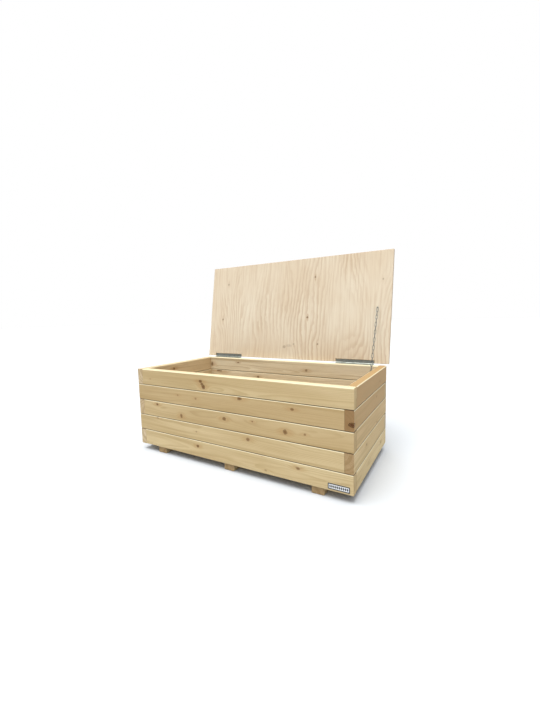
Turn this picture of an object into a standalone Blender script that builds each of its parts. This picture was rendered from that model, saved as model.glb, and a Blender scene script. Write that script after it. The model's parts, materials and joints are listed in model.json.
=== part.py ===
"""Wooden toy box: five courses of planks interlocked at the corners, a plywood lid on two strip
hinges and a lid-stay chain. Metres, +Z up, +X along the front from left to right, +Y to the back.
The origin is the middle of the underside of the centre bearer. The lid stands open at rest."""

import math

import bpy
from mathutils import Matrix, Vector

# Walls: courses of planks that run past each other in turn at the corners.
LENGTH = 1.000
DEPTH = 0.500
COURSES = 5
COURSE_HEIGHT = 0.070
PLANK_THICK = 0.030
EDGE_ROUND = 0.0032
END_ROUND_SHARE = 0.35
GAP = 0.0003

# Bearers under the walls, floor panel and hidden corner dowels.
BEARER_HEIGHT = 0.028
BEARER_WIDTH = 0.046
BEARER_SPACING = 0.375
BEARER_RECESS = 0.008
BEARER_EDGE_ROUND = 0.0015
FLOOR_THICK = 0.009
FLOOR_CLEARANCE = 0.0015
DOWEL_RADIUS = 0.005
DOWEL_COVER = 0.014

# Lid.
LID_LENGTH = 1.018
LID_DEPTH = 0.512
LID_THICK = 0.015
LID_REST_GAP = 0.0005
LID_EDGE_ROUND = 0.0012
LID_OPEN = math.radians(99.3)

# Strip hinges.
HINGE_CENTRES = {"left": -0.366, "right": 0.357}
KNUCKLES = 7
KNUCKLE_LENGTH = 0.0252
KNUCKLE_GAP = 0.0004
BARREL_RADIUS = 0.0025
PIN_RADIUS = 0.0010
PIN_CLEARANCE = 0.0003
PIN_BEHIND_WALL = 0.0030
LEAF_WIDTH = 0.0155
LEAF_THICK = 0.0010
RECESS_DEPTH = 0.0150
RECESS_END_GAP = 0.0025
SCREW_FROM_PIN = 0.0098
SCREW_SPACING = 0.0640
SCREW_LENGTH = {"box": 0.016, "lid": 0.008}
SCREW_HEAD_RADIUS = 0.0028
SCREW_RADIUS = 0.0014
SCREW_SUNK = 0.0001
SCREW_TIP = 0.0020

# Lid-stay chain: welded links of round wire, every second one turned a quarter turn.
WIRE_RADIUS = 0.0011
LINK_WIDTH = 0.0090
LINK_GAP = 0.0004
LINK_FUSE = 0.0003
RUNS = 6
LINKS_IN_RUN = 3
ARC_STEPS = 6
CHAIN_LID_X = 0.451
CHAIN_LID_FROM_EDGE = 0.251
CHAIN_BOX = Vector((0.4620, 0.115, 0.343))
CHAIN_BOX_SHARE = 0.85
EYE_RADIUS = 0.0050
EYE_STAND_OFF = 0.0070
EYE_PULL = 0.0014
STAY_SHANK_RADIUS = 0.00175
STAY_SHANK_LENGTH = 0.010
WASHER_RADIUS = 0.0047
WASHER_THICK = 0.0010
PAN_RADIUS = 0.0035
PAN_HEIGHT = 0.0022
PAN_CROWN_RADIUS = 0.0021
PAN_SIDE_HEIGHT = 0.0011
PAN_CROWN_DROP = 0.0002

# Blank badge on the bottom front plank.
BADGE_SIZE = (0.074, 0.0008, 0.020)
BADGE_CENTRE = (0.451, 0.0455)
BADGE_CORNER = 0.0012

# How far a cutter reaches past the face it cuts.
CUT_PAST = 0.010

WALL_BASE = BEARER_HEIGHT
WALL_TOP = WALL_BASE + COURSES * COURSE_HEIGHT
PIN = Vector((0, DEPTH / 2 + PIN_BEHIND_WALL, WALL_TOP + GAP + BARREL_RADIUS))
HINGE_LENGTH = KNUCKLES * KNUCKLE_LENGTH
LID_UNDERSIDE = WALL_TOP + LID_REST_GAP

for old in list(bpy.data.objects):
    bpy.data.objects.remove(old)

parts = bpy.data.collections.new("wooden_toy_box")
cutters = bpy.data.collections.new("cutters")
bpy.context.scene.collection.children.link(parts)
bpy.context.scene.collection.children.link(cutters)


def material(name, colour, roughness, metallic=0.0):
    mat = bpy.data.materials.new(name)
    mat.use_nodes = True
    shader = mat.node_tree.nodes["Principled BSDF"]
    shader.inputs["Base Color"].default_value = (*colour, 1)
    shader.inputs["Roughness"].default_value = roughness
    shader.inputs["Metallic"].default_value = metallic
    mat.diffuse_color = (*colour, 1)
    return mat


SPRUCE = material("spruce", (0.60, 0.43, 0.23), 0.6)
PLYWOOD = material("plywood", (0.78, 0.65, 0.47), 0.6)
BEECH = material("beech", (0.62, 0.42, 0.25), 0.6)
ZINC = material("zinc", (0.62, 0.64, 0.62), 0.35, 1.0)
STEEL = material("badge_steel", (0.70, 0.71, 0.72), 0.3, 1.0)


def keep(obj, name, mat):
    """Files a finished part under its name and material."""
    obj.name = name
    obj.data.name = name
    obj.data.materials.clear()
    obj.data.materials.append(mat)
    for collection in list(obj.users_collection):
        collection.objects.unlink(obj)
    parts.objects.link(obj)
    return obj


def helper(obj, name, group=cutters):
    """Files a cutter, or a shape that another part takes in, in the group that it belongs to."""
    obj.name = name
    for collection in list(obj.users_collection):
        collection.objects.unlink(obj)
    group.objects.link(obj)
    obj.hide_render = True
    obj.display_type = "WIRE"
    return obj


def cutter_group(name):
    group = bpy.data.collections.new(name)
    cutters.children.link(group)
    return group


def box(low, high):
    """A box between two corners, its origin at its middle and its scale applied."""
    low = Vector(low)
    high = Vector(high)
    bpy.ops.mesh.primitive_cube_add(size=1, location=(low + high) / 2)
    obj = bpy.context.object
    obj.data.transform(Matrix.Diagonal((*(high - low), 1)))
    return obj


def cylinder(radius, low, high, axis="Z", sides=24):
    """A cylinder between two points that differ along one axis."""
    low = Vector(low)
    high = Vector(high)
    turn = {"X": (0, math.pi / 2, 0), "Y": (math.pi / 2, 0, 0), "Z": (0, 0, 0)}[axis]
    bpy.ops.mesh.primitive_cylinder_add(
        vertices=sides,
        radius=radius,
        depth=(high - low).length,
        location=(low + high) / 2,
        rotation=turn,
    )
    obj = bpy.context.object
    smooth(obj)
    return obj


def smooth(obj):
    obj.data.shade_smooth()
    obj.data.set_sharp_from_angle(angle=math.radians(40))


def turned(profile, steps=16):
    """A turned piece: the profile's (radius, height) points run down its outer side."""
    mesh = bpy.data.meshes.new("profile")
    points = [(radius, 0, height) for radius, height in profile]
    mesh.from_pydata(points, [(i, i + 1) for i in range(len(points) - 1)], [])
    obj = bpy.data.objects.new("turned", mesh)
    bpy.context.scene.collection.objects.link(obj)
    screw = obj.modifiers.new("Screw", "SCREW")
    screw.steps = steps
    screw.render_steps = steps
    screw.use_merge_vertices = True
    screw.merge_threshold = 1e-5
    screw.use_smooth_shade = True
    return obj


def boolean(obj, operation, other):
    mod = obj.modifiers.new(f"{operation.title()} {other.name}", "BOOLEAN")
    mod.operation = operation
    mod.solver = "EXACT"
    if isinstance(other, bpy.types.Collection):
        mod.operand_type = "COLLECTION"
        mod.collection = other
    else:
        mod.object = other


def round_edges(obj, width, axis=None, other_share=0.0, segments=2):
    """Rounds every edge; with an axis, the edges that don't run along it get a share of the radius."""
    bevel = obj.modifiers.new("Bevel", "BEVEL")
    bevel.width = width
    bevel.segments = segments
    if axis is None:
        bevel.limit_method = "NONE"
        return
    bevel.limit_method = "WEIGHT"
    weights = obj.data.attributes.new("bevel_weight_edge", "FLOAT", "EDGE")
    for edge in obj.data.edges:
        a, b = (obj.data.vertices[i].co for i in edge.vertices)
        runs_along = abs((b - a).normalized()[axis]) > 0.9
        weights.data[edge.index].value = 1.0 if runs_along else other_share


def centred_empty(name, location, x_turn):
    empty = bpy.data.objects.new(name, None)
    parts.objects.link(empty)
    empty.location = location
    empty.rotation_euler.x = x_turn
    empty.empty_display_size = 0.05
    return empty


lid_frame = centred_empty("lid_frame", PIN, -LID_OPEN)


def on_lid(obj):
    """Hangs a piece, modelled with the lid shut, on the lid's frame, which stands open."""
    obj.location -= PIN
    obj.parent = lid_frame
    return obj


# Hidden corner dowels

bores = {}


def build_dowels():
    half = PLANK_THICK / 2
    low = WALL_BASE + DOWEL_COVER
    high = WALL_TOP - DOWEL_COVER
    for y_name, y in (("front", -DEPTH / 2 + half), ("back", DEPTH / 2 - half)):
        for x_name, x in (("left", -LENGTH / 2 + half), ("right", LENGTH / 2 - half)):
            corner = f"{y_name}_{x_name}"
            bore = cylinder(DOWEL_RADIUS + GAP, (x, y, low), (x, y, high))
            bores[corner] = helper(bore, f"{corner}_bore")
            dowel = cylinder(DOWEL_RADIUS, (x, y, low + GAP), (x, y, high - GAP))
            keep(dowel, f"{corner}_dowel", BEECH)


# Planks


def plank_limits(side, runs_right):
    """(low x, low y, high x, high y, corner) of one plank. Each plank runs through at one corner
    and butts against its neighbour at the other, and the next course does the reverse."""
    x = LENGTH / 2
    y = DEPTH / 2
    t = PLANK_THICK
    inner = t + GAP
    through = {
        ("front", True): (-x + inner, -y, x, -y + t, "front_right"),
        ("front", False): (-x, -y, x - inner, -y + t, "front_left"),
        ("back", True): (-x, y - t, x - inner, y, "back_left"),
        ("back", False): (-x + inner, y - t, x, y, "back_right"),
        ("right", True): (x - t, -y + inner, x, y, "back_right"),
        ("right", False): (x - t, -y, x, y - inner, "front_right"),
        ("left", True): (-x, -y, -x + t, y - inner, "front_left"),
        ("left", False): (-x, -y + inner, -x + t, y, "back_left"),
    }
    return through[side, runs_right]


def build_planks():
    planks = {}
    for course in range(1, COURSES + 1):
        top = WALL_TOP - (course - 1) * COURSE_HEIGHT - GAP / 2
        bottom = top - COURSE_HEIGHT + GAP
        for side in ("front", "back", "left", "right"):
            x0, y0, x1, y1, corner = plank_limits(side, course % 2 == 1)
            plank = box((x0, y0, bottom), (x1, y1, top))
            axis = 0 if side in ("front", "back") else 1
            round_edges(plank, EDGE_ROUND, axis, END_ROUND_SHARE)
            boolean(plank, "DIFFERENCE", bores[corner])
            planks[side, course] = keep(plank, f"{side}_plank_{course}", SPRUCE)
    return planks


# Bearers and floor


def build_base():
    for name, x in (("left", -BEARER_SPACING), ("centre", 0.0), ("right", BEARER_SPACING)):
        y = DEPTH / 2 - BEARER_RECESS
        half = BEARER_WIDTH / 2
        bearer = box((x - half, -y, 0), (x + half, y, BEARER_HEIGHT - GAP))
        round_edges(bearer, BEARER_EDGE_ROUND, segments=1)
        keep(bearer, f"{name}_bearer", SPRUCE)
    x = LENGTH / 2 - PLANK_THICK - FLOOR_CLEARANCE
    y = DEPTH / 2 - PLANK_THICK - FLOOR_CLEARANCE
    low = BEARER_HEIGHT + GAP
    floor = box((-x, -y, low), (x, y, low + FLOOR_THICK))
    keep(floor, "floor_panel", PLYWOOD)


# Lid


def build_lid():
    back = DEPTH / 2
    low = (-LID_LENGTH / 2, back - LID_DEPTH, LID_UNDERSIDE)
    high = (LID_LENGTH / 2, back, LID_UNDERSIDE + LID_THICK)
    lid = on_lid(box(low, high))
    round_edges(lid, LID_EDGE_ROUND, segments=1)
    ceiling = PIN.z + BARREL_RADIUS + GAP
    for side, centre in HINGE_CENTRES.items():
        half = HINGE_LENGTH / 2 + RECESS_END_GAP
        recess = box(
            (centre - half, back - RECESS_DEPTH, LID_UNDERSIDE - CUT_PAST),
            (centre + half, back + CUT_PAST, ceiling),
        )
        boolean(lid, "DIFFERENCE", helper(on_lid(recess), f"{side}_recess"))
    return keep(lid, "lid", PLYWOOD)


# Hinges


def hinge_leaf(name, centre, owner):
    """One leaf with its own knuckles. The box leaf lies under the pin and the lid leaf above it."""
    up = 1 if owner == "lid" else -1
    others = range(0, KNUCKLES, 2) if owner == "lid" else range(1, KNUCKLES, 2)
    end = KNUCKLE_GAP / 2
    left = centre - HINGE_LENGTH / 2
    x0 = left + end
    x1 = left + HINGE_LENGTH - end
    face = PIN.z + up * BARREL_RADIUS
    heights = sorted((face, face - up * LEAF_THICK))
    leaf = box((x0, PIN.y - LEAF_WIDTH, heights[0]), (x1, PIN.y, heights[1]))
    barrel = cylinder(BARREL_RADIUS, (x0, PIN.y, PIN.z), (x1, PIN.y, PIN.z), axis="X")
    helper(barrel, f"{name}_barrel")
    bore = cylinder(
        PIN_RADIUS + PIN_CLEARANCE,
        (x0 - CUT_PAST, PIN.y, PIN.z),
        (x1 + CUT_PAST, PIN.y, PIN.z),
        axis="X",
        sides=16,
    )
    helper(bore, f"{name}_bore")
    slots = cutter_group(f"{name}_slots")
    reach = BARREL_RADIUS + KNUCKLE_GAP
    for k in others:
        start = left + k * KNUCKLE_LENGTH - end
        slot = box(
            (start, PIN.y - reach, PIN.z - CUT_PAST),
            (start + KNUCKLE_LENGTH + KNUCKLE_GAP, PIN.y + CUT_PAST, PIN.z + CUT_PAST),
        )
        helper(slot, f"{name}_slot_{k}", slots)
    boolean(leaf, "UNION", barrel)
    boolean(leaf, "DIFFERENCE", bore)
    boolean(leaf, "DIFFERENCE", slots)
    if owner == "lid":
        for piece in (leaf, barrel, bore, *slots.objects):
            on_lid(piece)
    return leaf


def screw_profile(length):
    """A countersunk screw's outline from the middle of its head, at height 0, down to its tip."""
    cone = SCREW_HEAD_RADIUS - SCREW_RADIUS
    return [
        (0, 0),
        (SCREW_HEAD_RADIUS, 0),
        (SCREW_RADIUS, -cone),
        (SCREW_RADIUS, -length + SCREW_TIP),
        (0, -length),
    ]


def hole_profile(length):
    """The countersunk hole of that screw, with the gap round it and reaching above its head."""
    cone = SCREW_HEAD_RADIUS - SCREW_RADIUS
    rim = SCREW_HEAD_RADIUS + GAP
    shank = SCREW_RADIUS + GAP
    bottom = -length - GAP
    return [(0, SCREW_TIP), (rim, SCREW_TIP), (rim, 0), (shank, -cone), (shank, bottom), (0, bottom)]


def hinge_screw(side, owner, number, centre, holes):
    """One screw of a leaf, head flush with the leaf's face, and the hole that it needs."""
    faces_down = owner == "lid"
    up = -1 if faces_down else 1
    head = PIN.z - up * (BARREL_RADIUS - LEAF_THICK + SCREW_SUNK)
    length = SCREW_LENGTH[owner]
    screw = turned(screw_profile(length))
    hole = turned(hole_profile(length))
    for piece in (screw, hole):
        piece.location = (centre + (number - 2) * SCREW_SPACING, PIN.y - SCREW_FROM_PIN, head)
        if faces_down:
            piece.rotation_euler.x = math.pi
            on_lid(piece)
    keep(screw, f"{side}_{owner}_screw_{number}", ZINC)
    helper(hole, f"{side}_{owner}_hole_{number}", holes)


def build_hinges(planks, lid):
    hosts = {"box": planks["back", 1], "lid": lid}
    half = HINGE_LENGTH / 2 - KNUCKLE_GAP
    for side, centre in HINGE_CENTRES.items():
        ends = [(centre + x, PIN.y, PIN.z) for x in (-half, half)]
        keep(cylinder(PIN_RADIUS, *ends, axis="X", sides=12), f"{side}_hinge_pin", ZINC)
    for owner, host in hosts.items():
        holes = cutter_group(f"{owner}_screw_holes")
        for side, centre in HINGE_CENTRES.items():
            name = f"{side}_hinge_{owner}_leaf"
            leaf = hinge_leaf(name, centre, owner)
            boolean(leaf, "DIFFERENCE", holes)
            keep(leaf, name, ZINC)
            for number in (1, 2, 3):
                hinge_screw(side, owner, number, centre, holes)
        boolean(host, "DIFFERENCE", holes)


# Lid-stay chain


def link_mesh(start, end):
    """A closed ring of wire along +Z from start to end, flat in the XZ plane, as a mesh."""
    radius = LINK_WIDTH / 2 - WIRE_RADIUS
    outline = []
    for centre, first in ((end - radius, 0), (start + radius, math.pi)):
        for step in range(ARC_STEPS + 1):
            angle = first + math.pi * step / ARC_STEPS
            outline.append((radius * math.cos(angle), 0, centre + radius * math.sin(angle)))
    curve = bpy.data.curves.new("link", "CURVE")
    curve.dimensions = "3D"
    spline = curve.splines.new("POLY")
    spline.points.add(len(outline) - 1)
    for point, place in zip(spline.points, outline):
        point.co = (*place, 1)
    spline.use_cyclic_u = True
    curve.bevel_depth = WIRE_RADIUS
    curve.bevel_resolution = 1
    guide = bpy.data.objects.new("link_guide", curve)
    bpy.context.scene.collection.objects.link(guide)
    bpy.context.view_layer.update()
    graph = bpy.context.evaluated_depsgraph_get()
    mesh = bpy.data.meshes.new_from_object(guide.evaluated_get(graph))
    bpy.data.objects.remove(guide)
    mesh.shade_smooth()
    return mesh


def frame_along(direction, origin):
    """A matrix whose Z runs along the direction and whose X stays as near to world X as it can."""
    z = direction.normalized()
    y = z.cross(Vector((1, 0, 0))).normalized()
    x = y.cross(z)
    turn = Matrix((x, y, z)).transposed().to_4x4()
    return Matrix.Translation(origin) @ turn


def open_lid(point):
    """Where a point given with the lid shut is when the lid stands open."""
    return PIN + Matrix.Rotation(-LID_OPEN, 3, "X") @ (point - PIN)


def shank_end():
    """The lower outline of both stay fastenings, whose wood has its face at height 0."""
    return [(STAY_SHANK_RADIUS, -STAY_SHANK_LENGTH + SCREW_TIP), (0, -STAY_SHANK_LENGTH)]


def stay_screw():
    """A pan-head screw over a washer, pointing down."""
    over = GAP + WASHER_THICK
    top = over + PAN_HEIGHT
    return turned(
        [
            (0, top),
            (PAN_CROWN_RADIUS, top - PAN_CROWN_DROP),
            (PAN_RADIUS, over + PAN_SIDE_HEIGHT),
            (PAN_RADIUS, over),
            (WASHER_RADIUS, over),
            (WASHER_RADIUS, GAP),
            (STAY_SHANK_RADIUS, GAP),
            *shank_end(),
        ]
    )


def eye_shank():
    """The screw eye's shank, which ends inside the ring's wire."""
    neck = EYE_STAND_OFF - EYE_RADIUS + WIRE_RADIUS
    return turned([(0, neck), (WIRE_RADIUS, neck), (STAY_SHANK_RADIUS, GAP), *shank_end()])


def eye_ring():
    """The screw eye's ring, standing along the shank and facing sideways."""
    bpy.ops.mesh.primitive_torus_add(
        major_radius=EYE_RADIUS - WIRE_RADIUS,
        minor_radius=WIRE_RADIUS,
        major_segments=20,
        minor_segments=8,
    )
    ring = bpy.context.object
    upright = Matrix.Rotation(math.pi / 2, 4, "Y")
    ring.data.transform(Matrix.Translation((0, 0, EYE_STAND_OFF)) @ upright)
    return ring


def stay_hole(name, host, place):
    """The pilot hole of a stay fastening, cut into its host."""
    radius = STAY_SHANK_RADIUS + GAP
    bottom = -STAY_SHANK_LENGTH - GAP
    hole = turned([(0, SCREW_TIP), (radius, SCREW_TIP), (radius, bottom), (0, bottom)], steps=12)
    place(hole)
    boolean(host, "DIFFERENCE", helper(hole, name))


def build_stay_fastenings(planks, lid):
    """A screw eye under the lid and a pan-head screw in the right wall."""
    eye_at = Vector((CHAIN_LID_X, DEPTH / 2 - CHAIN_LID_FROM_EDGE, LID_UNDERSIDE))

    def under_lid(obj):
        obj.location = eye_at
        obj.rotation_euler.x = math.pi
        on_lid(obj)

    def on_wall(obj):
        obj.location = (LENGTH / 2 - PLANK_THICK, CHAIN_BOX.y, CHAIN_BOX.z)
        obj.rotation_euler.y = -math.pi / 2

    eye = eye_shank()
    under_lid(eye)
    ring = eye_ring()
    under_lid(ring)
    boolean(eye, "UNION", helper(ring, "chain_eye_ring"))
    keep(eye, "chain_lid_eye", ZINC)
    stay_hole("chain_eye_hole", lid, under_lid)

    screw = stay_screw()
    on_wall(screw)
    keep(screw, "chain_box_screw", ZINC)
    stay_hole("chain_screw_hole", planks["right", 1], on_wall)
    return open_lid(eye_at - Vector((0, 0, EYE_STAND_OFF)))


def build_chain(eye):
    """The taut chain runs straight from the eye to the screw in the wall. Each run of links turns
    about the wire that lies along X where it hooks into the run above."""
    hook = WIRE_RADIUS + LINK_GAP / 2
    fused = WIRE_RADIUS - LINK_FUSE / 2
    along = (CHAIN_BOX - eye).normalized()
    start = eye + (EYE_PULL + hook) * along
    pitch = (CHAIN_BOX - start).length / (RUNS * LINKS_IN_RUN - 1 + CHAIN_BOX_SHARE)

    def place(index):
        quarter = Matrix.Rotation(math.pi / 2 * (index % 2), 4, "Z")
        return frame_along(along, start + index * pitch * along) @ quarter

    for run in range(RUNS):
        first = run * LINKS_IN_RUN
        joint = frame_along(along, start + (first * pitch + (hook if first % 2 else -hook)) * along)
        links = []
        for k in range(LINKS_IN_RUN):
            before = fused if k else hook
            after = hook if k == LINKS_IN_RUN - 1 else fused
            link = bpy.data.objects.new("link", link_mesh(-before, pitch + after))
            bpy.context.scene.collection.objects.link(link)
            link.matrix_world = place(first + k)
            links.append(link)
        top = links[0]
        top.data.transform(joint.inverted() @ place(first))
        top.matrix_world = joint
        keep(top, f"chain_run_{run + 1}", ZINC)
        for k, link in enumerate(links[1:], 2):
            boolean(top, "UNION", helper(link, f"chain_run_{run + 1}_link_{k}"))


# Badge


def build_badge():
    x, z = BADGE_CENTRE
    width, thick, height = BADGE_SIZE
    face = -DEPTH / 2 - GAP
    low = (x - width / 2, face - thick, z - height / 2)
    high = (x + width / 2, face, z + height / 2)
    badge = box(low, high)
    round_edges(badge, BADGE_CORNER, axis=1, segments=3)
    keep(badge, "badge", STEEL)


build_dowels()
all_planks = build_planks()
build_base()
the_lid = build_lid()
build_hinges(all_planks, the_lid)
build_chain(build_stay_fastenings(all_planks, the_lid))
build_badge()
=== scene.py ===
"""The looks of the wooden toy box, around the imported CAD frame. Metres, in the CAD's row frame."""

import json
import math

import bmesh
import bpy
from mathutils import Matrix, Vector


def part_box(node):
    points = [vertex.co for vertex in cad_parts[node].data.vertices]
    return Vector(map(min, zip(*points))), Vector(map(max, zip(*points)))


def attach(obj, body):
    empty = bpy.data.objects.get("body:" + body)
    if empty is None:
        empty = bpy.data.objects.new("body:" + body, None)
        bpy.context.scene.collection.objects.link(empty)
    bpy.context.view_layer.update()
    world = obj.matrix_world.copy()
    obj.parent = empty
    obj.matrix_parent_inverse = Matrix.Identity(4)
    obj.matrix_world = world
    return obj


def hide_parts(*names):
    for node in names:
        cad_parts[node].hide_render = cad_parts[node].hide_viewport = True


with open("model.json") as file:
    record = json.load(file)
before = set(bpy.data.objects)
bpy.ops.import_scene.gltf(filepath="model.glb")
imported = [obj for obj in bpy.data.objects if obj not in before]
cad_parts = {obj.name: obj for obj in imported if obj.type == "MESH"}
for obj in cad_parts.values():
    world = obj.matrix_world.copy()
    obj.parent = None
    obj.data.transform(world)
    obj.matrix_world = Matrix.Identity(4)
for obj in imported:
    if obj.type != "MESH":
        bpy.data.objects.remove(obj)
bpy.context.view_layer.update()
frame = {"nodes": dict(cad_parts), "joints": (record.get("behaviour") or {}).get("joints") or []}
nodes = frame["nodes"]
joints = {joint["name"]: joint for joint in frame["joints"]}

# The camera, where the photographer stood.
CAMERA_PLACE = (0.77512, -1.22038, 0.60112)
CAMERA_AZIMUTH = 29.97
CAMERA_PITCH = -6.04
CAMERA_ROLL = -1.21
CAMERA_LENS = 16.31
CAMERA_SHIFT = (-0.0039, -0.01225)

# Soft studio light: a room brightest at the front left and dimmer near the horizon, a bright
# ceiling, and one broad lamp above. The camera sees plain white beyond the floor.
ROOM_TOWARDS = (-0.75, -0.66, 0.0)
ROOM_DIM = 0.28
ROOM_BRIGHT = 0.53
HORIZON_SHARE = 0.30
CEILING_LIGHT = 0.86
LAMP_FROM = (-0.05, -0.27, 0.96)
LAMP_STRENGTH = 2.5
LAMP_SPREAD = 45
FLOOR_COLOUR = (0.69, 0.72, 0.75)
FLOOR_SIZE = 60
FLOOR_DROP = 0.0002

# Wood colours, linear.
SPRUCE_PALE = (0.62, 0.505, 0.275)
SPRUCE_WARM = (0.52, 0.40, 0.20)
SPRUCE_LATE = (0.40, 0.27, 0.115)
# Painted highlight for the planks' top edges and the rim.
TOP_HIGHLIGHT_COLOUR = (0.90, 0.81, 0.56)
# Painted shade for the planks' feet and seams.
EDGE_SHADE_COLOUR = (0.13, 0.085, 0.045)
END_TINT = (0.62, 0.55, 0.52)
KNOT_HALO = (0.43, 0.245, 0.090)
KNOT_CORE = (0.150, 0.062, 0.018)
KNOT_BARK = (0.035, 0.017, 0.009)
VENEER_PALE = (0.81, 0.725, 0.575)
VENEER_WARM = (0.73, 0.61, 0.45)
VENEER_LINE = (0.56, 0.405, 0.26)
PLY_DARK = (0.42, 0.27, 0.15)
BEECH_COLOUR = (0.60, 0.42, 0.26)
ZINC_SPANGLE = (0.66, 0.68, 0.66)
ZINC_COLOURS = ((0.47, 0.50, 0.46), (0.35, 0.38, 0.34))
# The chain's zinc is a darker copy of the plate's: painted shade that stands in for the dark it
# reflects.
SHADED_CHAIN_COLOURS = ((0.19, 0.20, 0.19), (0.09, 0.10, 0.09))
BADGE_COLOURS = ((0.66, 0.67, 0.69), (0.76, 0.77, 0.78))
BADGE_BLACK = (0.022, 0.024, 0.027)

# The rounding of a plank's long edges, the pitch of the planer's marks and the rings in a metre.
EDGE_ROUND = 0.0032
PLANER_PITCH = 0.0055
RINGS = 300.0

# The pith of a plank's tree: its least distance from the plank's middle, and how that varies.
PITH_NEAREST = 0.022
PITH_STEP = 0.006
PITH_RISE = 0.034

# Gloss of bare wood, and the depths of the bumps in metres.
WOOD_SPECULAR = 0.18
SPRUCE_BUMP = 0.00022
VENEER_BUMP = 0.00016
ZINC_BUMP = 0.00004
BADGE_BUMP = 0.00003

# A plank's shade, over the spruce colours, and its tone: a higher tone is darker and warmer. The
# shades of the back, left and bearers are painted light: paler boards that stand in for more light
# inside the box and on the feet.
SIDE_TINT_AND_LIGHT = {
    "front": (1.03, 0.99, 1.03),
    "back": (1.33, 1.48, 2.05),
    "left": (1.32, 1.37, 1.75),
    "right": (1.07, 0.99, 0.99),
    "bearer": (1.27, 1.28, 1.38),
}
COURSE_TONES = {
    "front": (0.0, 0.35, 0.15, -0.05, -0.15),
    "back": (0.0, 0.15, 0.05, 0.20, -0.05),
    "left": (0.15, 0.0, 0.20, 0.05, -0.05),
    # The right wall's tones are painted light: darker at the top and paler towards the floor, as if
    # lit by light off the floor.
    "right": (1.2, 0.9, 0.2, -0.2, -0.8),
}
BEARER_TONE = 0.35

# How much the tone takes from red, green and blue.
TONE_SHARES = (0.14, 0.22, 0.27)

# How much of END_TINT a plank's end grain takes, from 0 to 1.
END_DARK = {"front": 0.25, "back": 0.60, "left": 0.40, "right": 1.0, "bearer": 1.0}

# A painted sheen on a plank's top face: how pale it is painted, from 0 to 1. Only the rim shows one.
TOP_PAINTED_SHEEN = {"front": 0.60, "back": 0.60, "left": 0.0, "right": 0.0, "bearer": 0.0}

# Each piece of wood has its own seed, which sets where its grain lies in the noise.
PLANK_SEED = 3
SIDE_SEED = 7
COURSE_SEED = 2
BEARER_SEED = 50
LID_SEED = 4
FLOOR_SEED = 9
LID_PLIES = 9
FLOOR_PLIES = 5

# How much of its listed size a knot is drawn.
KNOT_SHARE = 0.82

# Knots of each plank: place along the plank from the middle of the box, height from the plank's
# middle, half width, half height, and how dark it is from 0 to 1. A knot that doesn't go right
# through the plank has two numbers more: its place and half size through the thickness.
KNOTS = {
    "front_plank_1": [
        (-0.123, 0.006, 0.010, 0.007, 1.0),
        (-0.116, -0.004, 0.008, 0.007, 0.85),
        (-0.109, -0.015, 0.010, 0.010, 1.0),
        (-0.420, -0.007, 0.005, 0.004, 0.35),
    ],
    "front_plank_2": [
        (-0.254, 0.006, 0.007, 0.005, 0.35),
        (-0.153, 0.002, 0.008, 0.006, 0.40),
        (0.067, 0.027, 0.012, 0.009, 0.85),
        (0.286, 0.012, 0.009, 0.006, 0.70),
    ],
    "front_plank_3": [
        (-0.383, 0.021, 0.008, 0.006, 0.95),
        (-0.238, -0.012, 0.008, 0.011, 0.75),
        (-0.009, 0.008, 0.010, 0.009, 0.80),
        (0.122, 0.016, 0.005, 0.004, 0.60),
        (0.258, -0.002, 0.010, 0.011, 0.80),
        (0.333, 0.001, 0.006, 0.005, 0.55),
    ],
    "front_plank_4": [
        (-0.384, 0.030, 0.008, 0.005, 0.65),
        (-0.157, 0.002, 0.007, 0.005, 0.35),
        (0.100, 0.014, 0.010, 0.009, 0.70),
    ],
    "front_plank_5": [
        (-0.153, 0.011, 0.008, 0.007, 0.95),
        (0.159, 0.033, 0.006, 0.004, 0.60),
        (0.305, 0.016, 0.010, 0.007, 0.70),
        (0.175, -0.020, 0.007, 0.005, 0.30),
    ],
    "back_plank_1": [
        (-0.277, 0.012, 0.006, 0.005, 0.80),
        (-0.460, -0.004, 0.010, 0.012, 0.75),
        (0.130, -0.006, 0.009, 0.008, 0.55),
    ],
    "back_plank_2": [
        (-0.410, 0.031, 0.022, 0.009, 0.95),
        (-0.149, 0.012, 0.009, 0.007, 0.70),
        (0.235, -0.010, 0.009, 0.008, 0.75),
    ],
    "back_plank_3": [(-0.300, 0.010, 0.009, 0.008, 0.75), (0.180, -0.014, 0.011, 0.009, 0.80)],
    "back_plank_4": [(-0.060, -0.008, 0.010, 0.009, 0.80), (0.360, 0.012, 0.007, 0.006, 0.65)],
    "back_plank_5": [(-0.215, 0.014, 0.008, 0.007, 0.75), (0.090, -0.010, 0.010, 0.008, 0.70)],
    "right_plank_1": [(0.120, -0.010, 0.006, 0.005, 0.45)],
    "right_plank_2": [
        (-0.247, -0.012, 0.012, 0.010, 1.0, 0.009, 0.011),
        (0.060, 0.010, 0.006, 0.005, 0.40),
    ],
    "right_plank_3": [(0.073, -0.026, 0.005, 0.004, 0.90)],
    "right_plank_4": [(-0.090, 0.010, 0.008, 0.006, 0.50)],
    "right_plank_5": [(0.150, 0.004, 0.008, 0.007, 0.55)],
    "left_plank_1": [(-0.060, 0.008, 0.009, 0.008, 0.70)],
    "left_plank_2": [(0.105, -0.012, 0.010, 0.008, 0.80)],
    "left_plank_3": [(-0.150, 0.010, 0.008, 0.007, 0.75), (0.160, -0.006, 0.006, 0.005, 0.60)],
    "left_plank_4": [(0.010, 0.006, 0.010, 0.009, 0.80)],
    "left_plank_5": [(-0.110, -0.010, 0.008, 0.007, 0.70)],
}

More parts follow.
